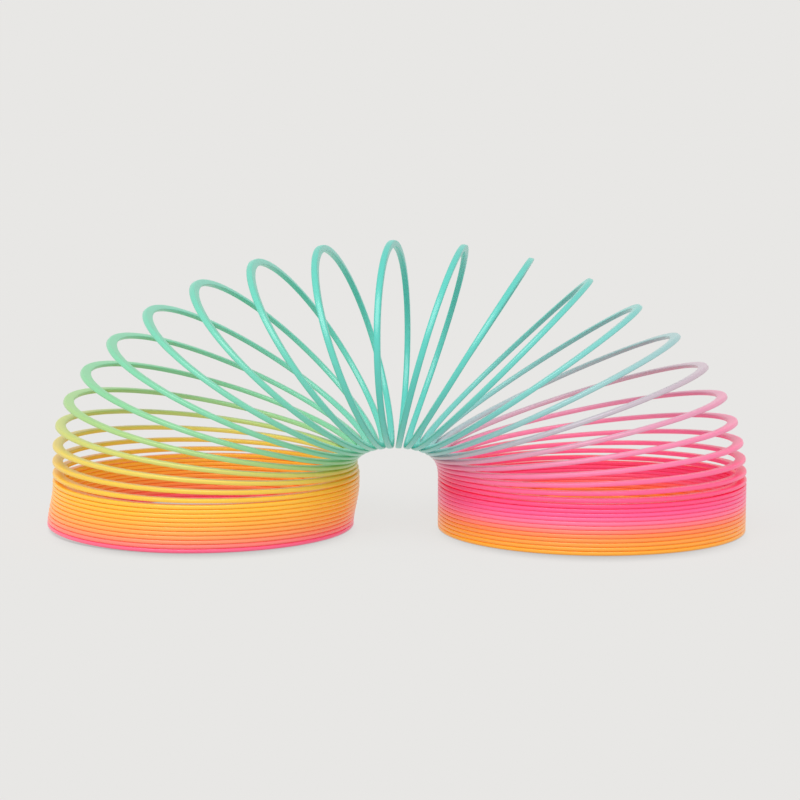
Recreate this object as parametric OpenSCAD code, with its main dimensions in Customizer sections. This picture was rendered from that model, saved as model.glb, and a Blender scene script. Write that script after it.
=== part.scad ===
// Spring coil toy: one plastic strip wound into a coil, bent over into an arch that stands on its
// two ends. The strip is built turn by turn, each turn running from one inner saddle to the next.

/* [Strip] */
// Width of the strip, from a ring's inside to its outside
strip_w = 2.5; // [1.5:0.1:3]
// Thickness of the strip where a loop stands upright
strip_t = 1.42; // [1:0.01:1.6]
// Height of the strip where it lies flat in a stack
lying_t = 0.9; // [0.7:0.01:0.95]

/* [Rings] */
// Outside diameter of a ring
ring_d = 75; // [60:1:100]
// Height of an upright loop as a share of its width
loop_flatness = 0.67; // [0.6:0.01:1]
// Straight pieces in one turn
steps = 48; // [24:8:48]

/* [Stacks] */
// Turns lying in the left stack
left_turns = 10.5; // [9:0.05:13]
// Turns lying in the right stack
right_turns = 11.4; // [9:0.05:13]
// Rise of one turn in a stack
stack_pitch = 1; // [1:0.01:1.6]
// How far the top of the left stack leans towards the arch
left_lean = 1.5; // [0:0.1:2]
// Share of a lying turn that is flat before it climbs on to the next
flat_share = 0.75; // [0.75]

/* [Arch] */
// Turns in the whole coil
all_turns = 47; // [47]
// Sideways spacing of the strip along the inner saddle line
arch_pitch = 2.05; // [1.9:0.05:2.6]
// How much the climb from turn to turn eases towards the crown, as a share
crown_easing = 0.25; // [0:0.05:0.6]
// How much tighter the fan is near the stacks than at its top, 0 for an even fan
fan_swell = 0.28; // [0:0.01:0.4]
// Share of the arch at each end over which the fan opens
fan_opening = 0.24; // [0.1:0.01:0.4]

/* [Colours along the strip] */
// Colour at the left foot and in the right stack
pink = "#ff5c86";
// Colour above the pink in both stacks
orange = "#ff9a45";
// Colour at the top of the left stack and the foot of the right one
amber = "#ffb52e";
// Colour where the left side of the arch leaves the stack
yellow = "#e9d36a";
// Colour halfway up the left side of the arch
green = "#8fd79c";
// Colour of the arch's crown
teal = "#5fd0bf";
// Colour where the right side of the arch comes down
lavender = "#c7bccb";

/* [Hidden] */
// Radius of the strip's middle line in a ring
ring_r = (ring_d - strip_w) / 2;
// Turns fanned out over the arch
arch_turns = all_turns - left_turns - right_turns;
// Where the laps of a stack begin to fade into the even pitch of the fan, in turns from the stack's
// own number of them, and over how many turns they do
left_fade = [0.5, 3.5];
right_fade = [-1, 2.5];
// Turns of the fan that keep the left stack's lean, and those that then give it back
lean_kept = 1.5;
lean_return = 4.4;
// How far below a turn's own number its saddle lies, so that turn 3 runs from 2.5 to 3.5
saddle = 0.5;
last_turn = all_turns - 1;

function two_digits(i) = i < 10 ? str("0", i) : str(i);
function turn_name(i) = str("turn_", two_digits(i));

// Share of the way over the arch at m turns along the strip
function along_arch(m) = min(1, max(0, (m - left_turns) / arch_turns));
// Share of the fan that has opened at share a of the arch, slow at both ends and even between
function opened(a) = (a < fan_opening ? a * a / (2 * fan_opening)
    : a > 1 - fan_opening ? 1 - fan_opening - (1 - a) * (1 - a) / (2 * fan_opening)
    : a - fan_opening / 2) / (1 - fan_opening);
// Tilt of the loop at m: 0 lies in the left stack, 90 stands upright, 180 lies in the right stack
function tilt(m) = let (a = opened(along_arch(m))) 180 * (a - fan_swell * sin(360 * a) / (2 * PI));

function smooth(a) = let (b = min(1, max(0, a))) b * b * (3 - 2 * b);
// Height of a lapped stack at m turns from its end, in pitches: flat, then a climb on to the next lap
function laps(m) = floor(m) + smooth((m - floor(m) - flat_share) / (1 - flat_share));
// Share of the lapping that is left at m turns from an end whose stack has this many turns
function lapped(m, turns, fade) = 1 - smooth((m - turns - fade[0]) / fade[1]);
function lap_drop(m, turns, fade) = stack_pitch * (laps(m) - m) * lapped(m, turns, fade);
// Sideways shift of the leaning left stack at m
function leaning(m) = left_lean * smooth(m / left_turns) * (1 - smooth((m - left_turns - lean_kept) / lean_return));

// The inner saddle line, as [x, z] at every step of the strip, summed from the tilt
count = all_turns * steps;
function step_x(m) = arch_pitch * sin(tilt(m));
function step_z(m) = stack_pitch * cos(tilt(m)) * (1 - crown_easing * pow(sin(tilt(m)), 2));
raw_line = [for (i = 0, x = 0, z = 0; i <= count;
                 x = x + step_x(i / steps) / steps, z = z + step_z(i / steps) / steps, i = i + 1) [x, z]];
// Share of the way from the left foot to the right one
function between_feet(m) = min(1, max(0, (m - flat_share) / (all_turns - 2 * flat_share)));
// The line again, centred between the two stacks and with both feet on the same level
saddle_line = [for (i = [0:count]) let (m = i / steps) [
    raw_line[i][0] - raw_line[count][0] / 2 + leaning(m),
    lying_t / 2 + raw_line[i][1] - raw_line[count][1] * between_feet(m)
        + lap_drop(m, left_turns, left_fade) + lap_drop(all_turns - m, right_turns, right_fade)]];

// The four corners of the strip's section at step i, in the plane of the ring's radius and the coil's axis
function section(i) =
    let (m = i / steps, turned = 360 * (m - saddle), lean = tilt(m),
         up = [-cos(lean), 0, loop_flatness * sin(lean)], axial = [sin(lean), 0, lying_t / strip_t * cos(lean)],
         side = [0, -1, 0], foot = [saddle_line[i][0], 0, saddle_line[i][1]],
         middle = foot + ring_r * (1 - cos(turned)) * up + ring_r * sin(turned) * side,
         outward = -cos(turned) * up + sin(turned) * side)
    [for (c = [[-1, -1], [1, -1], [1, 1], [-1, 1]])
        middle + c[0] * strip_w / 2 * outward + c[1] * strip_t / 2 * axial];

// The colour at m turns along the strip
stops = [[0, pink], [4, orange], [8, amber], [12, yellow], [15.5, green], [18.5, teal],
         [28, lavender], [30, pink], [41, orange], [44, amber]];
function colour(m) = [for (s = stops) if (m >= s[0]) s[1]][len([for (s = stops) if (m >= s[0]) 1]) - 1];

// A stretch of the strip from m0 to m1 turns along it
module strip(m0, m1) {
    first = round(m0 * steps);
    last = round(m1 * steps);
    n = last - first;
    points = [for (i = [first:last]) each section(i)];
    sides = [for (r = [0:n - 1], c = [0:3]) let (a = 4 * r + c, b = 4 * r + (c + 1) % 4)
        each [[a, b + 4, b], [a, a + 4, b + 4]]];
    ends = [[0, 1, 2, 3], [4 * n + 3, 4 * n + 2, 4 * n + 1, 4 * n]];
    polyhedron(points, concat(sides, ends));
}

// A flat three quarters of a ring on the ground: the end of the strip, on which its stack stands
module foot(x, start) {
    translate([x, 0, 0])
        rotate([0, 0, start])
            rotate_extrude(angle = 360 * flat_share, $fn = 2 * steps)
                translate([ring_r - strip_w / 2, 0])
                    square([strip_w, lying_t]);
}

module left_foot() {
    meets = saddle_line[round(flat_share * steps)][0];
    color(colour(0)) foot(meets - ring_r, -90);
}

module right_foot() {
    meets = saddle_line[round((all_turns - flat_share) * steps)][0];
    color(colour(all_turns)) foot(meets + ring_r, 90);
}

module turn(i) {
    from = max(i - saddle, flat_share);
    to = min(i + saddle, all_turns - flat_share);
    color(colour(i)) strip(from, to);
}

left_foot();
for (i = [1:last_turn])
    turn(i);
right_foot();
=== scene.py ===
"""The looks of the spring coil toy: one plastic strip, dyed along its length, on a plain pale ground."""
import math

import bpy
import numpy as np
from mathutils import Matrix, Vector


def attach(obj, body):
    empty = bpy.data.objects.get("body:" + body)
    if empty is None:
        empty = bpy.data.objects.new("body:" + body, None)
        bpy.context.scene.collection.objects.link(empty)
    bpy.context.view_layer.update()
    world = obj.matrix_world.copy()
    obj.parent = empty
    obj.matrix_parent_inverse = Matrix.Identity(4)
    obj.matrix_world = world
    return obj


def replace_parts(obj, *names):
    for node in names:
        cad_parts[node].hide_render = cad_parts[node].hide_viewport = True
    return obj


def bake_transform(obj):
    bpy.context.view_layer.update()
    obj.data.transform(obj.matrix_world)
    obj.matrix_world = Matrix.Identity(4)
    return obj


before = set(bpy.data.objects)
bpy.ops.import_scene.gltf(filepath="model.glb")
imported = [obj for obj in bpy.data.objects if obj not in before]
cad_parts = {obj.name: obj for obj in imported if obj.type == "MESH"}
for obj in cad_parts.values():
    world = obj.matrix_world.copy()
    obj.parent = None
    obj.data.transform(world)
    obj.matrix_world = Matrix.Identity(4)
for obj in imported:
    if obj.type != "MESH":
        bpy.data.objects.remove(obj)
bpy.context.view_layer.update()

MM = 0.001

# ---- The strip: a little thicker than in the CAD, whose rigid turns need room between them ----
STRIP_W = 2.5 * MM
STRIP_T = 1.5 * MM          # where a loop stands upright
LYING_T = 0.99 * MM         # where it lies in a stack
EDGE_RADIUS = 0.42 * MM     # rounding along its four edges

# ---- The coil's other driving sizes, the same as the CAD's ----
RING_D = 75 * MM
LOOP_FLATNESS = 0.67        # height of an upright loop as a share of its width
ALL_TURNS = 47
LEFT_TURNS = 10.5
RIGHT_TURNS = 11.4
STACK_PITCH = 1 * MM
LEFT_LEAN = 1.5 * MM        # how far the top of the left stack leans towards the arch
FLAT_SHARE = 0.75           # share of a lying turn that is flat before it climbs on to the next
ARCH_PITCH = 2.05 * MM      # sideways spacing of the strip along the inner saddle line
CROWN_EASING = 0.25         # how much the climb from turn to turn eases towards the crown
FAN_SWELL = 0.28            # how much tighter the fan is near the stacks than at its top
FAN_OPENING = 0.24          # share of the arch at each end over which the fan opens
LEFT_FADE = (0.5, 3.5)      # turns past a stack's own at which its laps begin to fade, and over how many
RIGHT_FADE = (-1, 2.5)
LEAN_KEPT = 1.5             # turns of the fan that keep the lean, and those that then give it back
LEAN_RETURN = 4.4
SADDLE = 0.5                # a turn's saddles lie half a turn before and after its crest

RING_R = (RING_D - STRIP_W) / 2
ARCH_TURNS = ALL_TURNS - LEFT_TURNS - RIGHT_TURNS
LAST_TURN = ALL_TURNS - 1

# ---- How finely the strip is meshed ----
STEPS = 96    # lengths in one turn
EDGE_POINTS = 4                     # points round each of its edges


# ---- The coil's line: the CAD's own formulas, for m turns along the strip from its left end ----
def smooth(a):
    a = np.clip(a, 0, 1)
    return a * a * (3 - 2 * a)


def opened(a):
    """Share of the fan that has opened at share a of the arch, slow at both ends and even between."""
    starting = a * a / (2 * FAN_OPENING)
    ending = 1 - FAN_OPENING - (1 - a) ** 2 / (2 * FAN_OPENING)
    between = a - FAN_OPENING / 2
    past_start = np.where(a > 1 - FAN_OPENING, ending, between)
    return np.where(a < FAN_OPENING, starting, past_start) / (1 - FAN_OPENING)


def tilt(m):
    """Lean of the loop at m: 0 lies in the left stack, pi in the right one."""
    a = opened(np.clip((m - LEFT_TURNS) / ARCH_TURNS, 0, 1))
    return math.pi * a - FAN_SWELL * np.sin(2 * math.pi * a) / 2


def stacked(m, turns, fade):
    """1 in a stack of so many turns, falling to 0 in the fan, m turns from the stack's end."""
    start, over = fade
    return 1 - smooth((m - turns - start) / over)


def lap_drop(m, turns, fade):
    """How far a lapped stack's flat laps lie below an even climb, m turns from its end."""
    laps = np.floor(m) + smooth((m - np.floor(m) - FLAT_SHARE) / (1 - FLAT_SHARE))
    return STACK_PITCH * (laps - m) * stacked(m, turns, fade)


def leaning(m):
    """Sideways shift of the leaning left stack, which the first turns of the fan give back."""
    return LEFT_LEAN * smooth(m / LEFT_TURNS) * (1 - smooth((m - LEFT_TURNS - LEAN_KEPT) / LEAN_RETURN))


def saddle_line():
    """The inner saddle line's x and z at every step of the strip."""
    m = np.arange(ALL_TURNS * STEPS + 1) / STEPS
    step_x = ARCH_PITCH * np.sin(tilt(m))
    step_z = STACK_PITCH * np.cos(tilt(m)) * (1 - CROWN_EASING * np.sin(tilt(m)) ** 2)
    x = np.concatenate([[0], np.cumsum(step_x[:-1])]) / STEPS
    z = np.concatenate([[0], np.cumsum(step_z[:-1])]) / STEPS
    level = z[-1] * np.clip((m - FLAT_SHARE) / (ALL_TURNS - 2 * FLAT_SHARE), 0, 1)
    drops = lap_drop(m, LEFT_TURNS, LEFT_FADE) + lap_drop(ALL_TURNS - m, RIGHT_TURNS, RIGHT_FADE)
    return x - x[-1] / 2 + leaning(m), LYING_T / 2 + z - level + drops


SADDLE_X, SADDLE_Z = saddle_line()


def index(m):
    """The step nearest to m turns along the strip."""
    return round(m * STEPS)


def strip_profile():
    """The strip's section as (outward, axial) points: a rectangle with rounded edges."""
    points = []
    for corner in range(4):
        out = (1 if corner in (0, 3) else -1) * (STRIP_W / 2 - EDGE_RADIUS)
        axial = (1 if corner < 2 else -1) * (STRIP_T / 2 - EDGE_RADIUS)
        for k in range(EDGE_POINTS):
            angle = math.pi / 2 * (corner + k / (EDGE_POINTS - 1))
            points.append((out + EDGE_RADIUS * math.cos(angle), axial + EDGE_RADIUS * math.sin(angle)))
    return points


PROFILE = strip_profile()


def section(i):
    """The profile's points, placed at step i of the strip as the CAD places its section."""
    m = i / STEPS
    turned = 2 * math.pi * (m - SADDLE)
    lean = float(tilt(m))
    up = Vector((-math.cos(lean), 0, LOOP_FLATNESS * math.sin(lean)))
    across = Vector((math.sin(lean), 0, LYING_T / STRIP_T * math.cos(lean)))
    side = Vector((0, -1, 0))
    foot = Vector((SADDLE_X[i], 0, SADDLE_Z[i]))
    middle = foot + RING_R * (1 - math.cos(turned)) * up + RING_R * math.sin(turned) * side
    outward = -math.cos(turned) * up + math.sin(turned) * side
    return [middle + out * outward + axial * across for out, axial in PROFILE]


def painted_inner_shade(m, out):
    """1 on the strip's inward side deep in a stack, where painted shade darkens and deepens the dye in
    place of light that has come through the plastic, else 0.
    """
    in_left = stacked(m, LEFT_TURNS, LEFT_FADE)
    in_right = stacked(ALL_TURNS - m, RIGHT_TURNS, RIGHT_FADE)
    return float(max(in_left, in_right)) if out < 0 else 0.0


def strip_piece(name, m0, m1):
    """A stretch of the strip from m0 to m1 turns along it, closed only at the strip's own two ends."""
    steps = range(index(m0), index(m1) + 1)
    rings = [section(i) for i in steps]
    around = len(PROFILE)
    points = [p for ring in rings for p in ring]
    faces = []
    for r in range(len(rings) - 1):
        for k in range(around):
            a, b = r * around + k, r * around + (k + 1) % around
            faces.append((a, b, b + around, a + around))
    sides = len(faces)
    if m0 == 0:
        faces.append(tuple(reversed(range(around))))
    if m1 == ALL_TURNS:
        faces.append(tuple(range((len(rings) - 1) * around, len(rings) * around)))
    mesh = bpy.data.meshes.new(name)
    mesh.from_pydata(points, [], faces)
    mesh.polygons.foreach_set("use_smooth", [k < sides for k in range(len(faces))])
    along = mesh.attributes.new("along", "FLOAT", "POINT")
    along.data.foreach_set("value", [i / STEPS / ALL_TURNS for i in steps for _ in PROFILE])
    # Painted shade: marks the inward side of the stacks, whose dye is darkened
    inner_shade = mesh.attributes.new("painted_inner_shade", "FLOAT", "POINT")
    inner_shade.data.foreach_set("value", [painted_inner_shade(i / STEPS, out) for i in steps for out, _ in PROFILE])
    mesh.materials.append(STRIP_PLASTIC)
    piece = bpy.data.objects.new(name, mesh)
    bpy.context.scene.collection.objects.link(piece)
    return piece


def body_name(turn):
    """The CAD body that holds this turn's crest."""
    if turn <= 1:
        return "left_base"
    if turn >= LAST_TURN:
        return "right_base"
    return f"turn_{turn:02d}"


def make_coil():
    """A loop rides on each turn, and a saddle joins each turn to the next."""
    quarter = 0.25
    left = strip_piece("left_end", 0, 1 + quarter)
    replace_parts(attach(left, "left_base"), "left_foot", "turn_01")
    for turn in range(2, LAST_TURN):
        loop = strip_piece(f"loop_{turn:02d}", turn - quarter, turn + quarter)
        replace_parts(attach(loop, body_name(turn)), f"turn_{turn:02d}")
    right = strip_piece("right_end", LAST_TURN - quarter, ALL_TURNS)
    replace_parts(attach(right, "right_base"), f"turn_{LAST_TURN:02d}", "right_foot")
    for turn in range(1, LAST_TURN):
        saddle = strip_piece(f"saddle_{turn:02d}", turn + quarter, turn + 1 - quarter)
        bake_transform(saddle)


# ---- Materials ----
def to_linear(hex_colour):
    """A hex colour as linear RGBA."""
    values = [int(hex_colour[k:k + 2], 16) / 255 for k in (1, 3, 5)]
    return [v / 12.92 if v <= 0.04045 else ((v + 0.055) / 1.055) ** 2.4 for v in values] + [1]


# The dye's colour at so many turns along the strip
DYE = [
    (0.7, "#f8668e"), (2.0, "#f88a72"), (4.0, "#f8a556"), (6.5, "#f8b345"), (9.0, "#f8bd3c"),
    (11.5, "#f4c13c"), (13.0, "#e8c44a"), (14.3, "#ddcc62"), (15.5, "#b0cb7c"), (17.0, "#86cc9e"),
    (19.0, "#78cbb0"), (21.0, "#6ac9b6"), (23.0, "#58c4b8"), (25.5, "#62c5ba"), (27.0, "#7ec5c0"),
    (28.0, "#9cc1c2"), (29.0, "#c6b0bc"), (30.0, "#e092b0"), (31.5, "#f080a8"), (33.5, "#f86494"),
    (35.5, "#f84c82"), (38.0, "#f85f97"), (40.0, "#fa7999"), (41.5, "#fa8476"), (43.0, "#f8914c"),
    (45.0, "#f8a440"), (46.6, "#f8ac35"),
]


ROUGHNESS = 0.28
IOR = 1.55
PAINTED_GLOW = 0.17             # painted glow: the strip emits the dye squared, standing in for light that has passed through the milky plastic
INNER_SHADE_DEPTH = 0.6      # share of the dye squared laid on the inward side of a stack as painted shade
GRAIN_SCALE = 350
GRAIN_DETAIL = 2
GRAIN_STRENGTH = 0.03
GRAIN_HEIGHT = 0.1 * MM


def strip_plastic():
    """Satin, slightly milky plastic, dyed along the strip, with a painted glow and painted shade on the
    inward side of the stacks.
    """
    material = bpy.data.materials.new("strip_plastic")
    material.use_nodes = True
    nodes, links = material.node_tree.nodes, material.node_tree.links
    shader = nodes["Principled BSDF"]
    shader.inputs["Roughness"].default_value = ROUGHNESS
    shader.inputs["IOR"].default_value = IOR
    # Painted glow: the plastic emits light though it is no lamp
    shader.inputs["Emission Strength"].default_value = PAINTED_GLOW

    place = nodes.new("ShaderNodeAttribute")
    place.attribute_name = "along"
    dye = nodes.new("ShaderNodeValToRGB")
    ramp = dye.color_ramp
    ramp.interpolation = "LINEAR"
    while len(ramp.elements) < len(DYE):
        ramp.elements.new(0.5)
    # Every place first, since moving an element can change their order
    for element, (m, colour) in zip(ramp.elements, DYE):
        element.position = m / ALL_TURNS
    for element, (m, colour) in zip(ramp.elements, DYE):
        element.color = to_linear(colour)
    links.new(place.outputs["Fac"], dye.inputs["Fac"])

    # The dye squared: the colour of the painted glow, and of the painted shade on the inward side of a
    # stack
    glow_and_shade_colour = nodes.new("ShaderNodeVectorMath")
    glow_and_shade_colour.operation = "MULTIPLY"
    links.new(dye.outputs["Color"], glow_and_shade_colour.inputs[0])
    links.new(dye.outputs["Color"], glow_and_shade_colour.inputs[1])
    links.new(glow_and_shade_colour.outputs["Vector"], shader.inputs["Emission Color"])

    inner_shade = nodes.new("ShaderNodeAttribute")
    inner_shade.attribute_name = "painted_inner_shade"
    # Painted shade on the inward side of the stacks: the dye mixed towards the dye squared
    share = nodes.new("ShaderNodeMath")
    share.operation = "MULTIPLY"
    share.inputs[1].default_value = INNER_SHADE_DEPTH
    links.new(inner_shade.outputs["Fac"], share.inputs[0])
    body = nodes.new("ShaderNodeMix")
    body.data_type = "RGBA"
    links.new(share.outputs["Value"], body.inputs["Factor"])
    links.new(dye.outputs["Color"], body.inputs["A"])
    links.new(glow_and_shade_colour.outputs["Vector"], body.inputs["B"])
    links.new(body.outputs["Result"], shader.inputs["Base Color"])

    grain = nodes.new("ShaderNodeTexNoise")
    grain.inputs["Scale"].default_value = GRAIN_SCALE
    grain.inputs["Detail"].default_value = GRAIN_DETAIL
    bump = nodes.new("ShaderNodeBump")
    bump.inputs["Strength"].default_value = GRAIN_STRENGTH
    bump.inputs["Distance"].default_value = GRAIN_HEIGHT
    links.new(grain.outputs["Fac"], bump.inputs["Height"])
    links.new(bump.outputs["Normal"], shader.inputs["Normal"])
    return material


# ---- Ground and light ----
GROUND_SHOWN = (0.807, 0.799, 0.783)    # the even pale tone of the ground and of everything behind
GROUND_ALBEDO = 0.06                    # low, so that only a faint wide shadow shows
GROUND_HALF = 20                        # half the ground's side, in metres

# The contact shadow: the ground looks back and up, so the shadow lies in front of what stands on it
CONTACT_REACH = 18 * MM
CONTACT_LOOK = (0, 0.7, 0.7)
CONTACT_OPEN = (0.3, 0.57)              # how open that view is just in front of a wall, and just beside one
CONTACT_DEPTH = 0.4

SUN_STRENGTH = 2.1
SUN_TILT = math.radians(28)
SUN_TURN = math.radians(-15)
SUN_WIDTH = math.radians(50)

# The sky, by height as the sine of its elevation: as bright as the ground up to the first height, then
# dimming evenly to a share of that at the second
SKY_BRIGHT_TO = 0.1
SKY_DIMMED_AT = 0.5
SKY_DIMMED = 0.6


def sky_share():
    """How much light the dimmed sky lays on the ground, as a share of an even one."""
    height = np.linspace(0, 1, 201)
    brightness = np.interp(height, (SKY_BRIGHT_TO, SKY_DIMMED_AT), (1, SKY_DIMMED))
    return float(np.average(brightness, weights=height))


def ground_material():
    """Takes a faint contact shadow, and elsewhere shows the backdrop's own tone."""
    material = bpy.data.materials.new("ground")
    material.use_nodes = True
    nodes, links = material.node_tree.nodes, material.node_tree.links
    nodes.clear()
    output = nodes.new("ShaderNodeOutputMaterial")
    both = nodes.new("ShaderNodeAddShader")
    matt = nodes.new("ShaderNodeBsdfDiffuse")
    glow = nodes.new("ShaderNodeEmission")
    sunlight = SUN_STRENGTH * math.cos(SUN_TILT) / math.pi
    sky = sky_share()
    lacking = [c - GROUND_ALBEDO * (c * sky + sunlight) for c in GROUND_SHOWN]
    matt.inputs["Color"].default_value = (*[GROUND_ALBEDO] * 3, 1)
    glow.inputs["Color"].default_value = (*lacking, 1)
    contact = nodes.new("ShaderNodeAmbientOcclusion")
    contact.inputs["Distance"].default_value = CONTACT_REACH
    look = nodes.new("ShaderNodeCombineXYZ")
    for axis, value in zip("XYZ", CONTACT_LOOK):
        look.inputs[axis].default_value = value
    links.new(look.outputs["Vector"], contact.inputs["Normal"])
    shade = nodes.new("ShaderNodeMapRange")
    shade.inputs["From Min"].default_value = CONTACT_OPEN[0]
    shade.inputs["From Max"].default_value = CONTACT_OPEN[1]
    shade.inputs["To Min"].default_value = 1 - CONTACT_DEPTH
    links.new(contact.outputs["AO"], shade.inputs["Value"])
    links.new(shade.outputs["Result"], glow.inputs["Strength"])
    links.new(matt.outputs["BSDF"], both.inputs[0])
    links.new(glow.outputs["Emission"], both.inputs[1])
    links.new(both.outputs["Shader"], output.inputs["Surface"])
    return material


def make_ground():
    half = GROUND_HALF
    corners = [(-half, -half, 0), (half, -half, 0), (half, half, 0), (-half, half, 0)]
    mesh = bpy.data.meshes.new("ground")
    mesh.from_pydata(corners, [], [(0, 1, 2, 3)])
    mesh.materials.append(ground_material())
    ground = bpy.data.objects.new("ground", mesh)
    bpy.context.scene.collection.objects.link(ground)


def make_sky():
    """An even studio, a little dimmer overhead."""
    world = bpy.data.worlds.new("studio")
    world.use_nodes = True
    nodes, links = world.node_tree.nodes, world.node_tree.links
    sky = nodes["Background"]
    sky.inputs["Color"].default_value = (*GROUND_SHOWN, 1)
    direction = nodes.new("ShaderNodeTexCoord")
    split = nodes.new("ShaderNodeSeparateXYZ")
    dimming = nodes.new("ShaderNodeMapRange")
    dimming.inputs["From Min"].default_value = SKY_BRIGHT_TO
    dimming.inputs["From Max"].default_value = SKY_DIMMED_AT
    dimming.inputs["To Min"].default_value = 1
    dimming.inputs["To Max"].default_value = SKY_DIMMED
    links.new(direction.outputs["Generated"], split.inputs["Vector"])
    links.new(split.outputs["Z"], dimming.inputs["Value"])
    links.new(dimming.outputs["Result"], sky.inputs["Strength"])
    bpy.context.scene.world = world


def make_softbox():
    """One very wide soft light from above the camera."""
    lamp = bpy.data.lights.new("softbox", "SUN")
    lamp.energy = SUN_STRENGTH
    lamp.angle = SUN_WIDTH
    sun = bpy.data.objects.new("softbox", lamp)
    sun.rotation_euler = (SUN_TILT, 0, SUN_TURN)
    bpy.context.scene.collection.objects.link(sun)


# ---- Camera ----
CAMERA_DISTANCE = 540 * MM
CAMERA_ELEVATION = math.radians(7.13)
CAMERA_TURN = math.radians(1.79)
CAMERA_LENS = 99.62         # in mm, as is the sensor's width
SENSOR_WIDTH = 36
CLIP_START = 10 * MM
AIM = Vector((1.09 * MM, 0, 31.07 * MM))


def make_camera():
    flat = math.cos(CAMERA_ELEVATION)
    back = Vector((math.sin(CAMERA_TURN) * flat, -math.cos(CAMERA_TURN) * flat, math.sin(CAMERA_ELEVATION)))
    data = bpy.data.cameras.new("camera")
    data.lens = CAMERA_LENS
    data.sensor_width = SENSOR_WIDTH
    data.clip_start = CLIP_START
    camera = bpy.data.objects.new("camera", data)
    camera.location = AIM + CAMERA_DISTANCE * back
    camera.rotation_euler = back.to_track_quat("Z", "Y").to_euler()
    bpy.context.scene.collection.objects.link(camera)
    bpy.context.scene.camera = camera


make_camera()
bpy.context.scene.view_settings.view_transform = "Standard"
STRIP_PLASTIC = strip_plastic()
make_coil()
make_ground()
make_sky()
make_softbox()
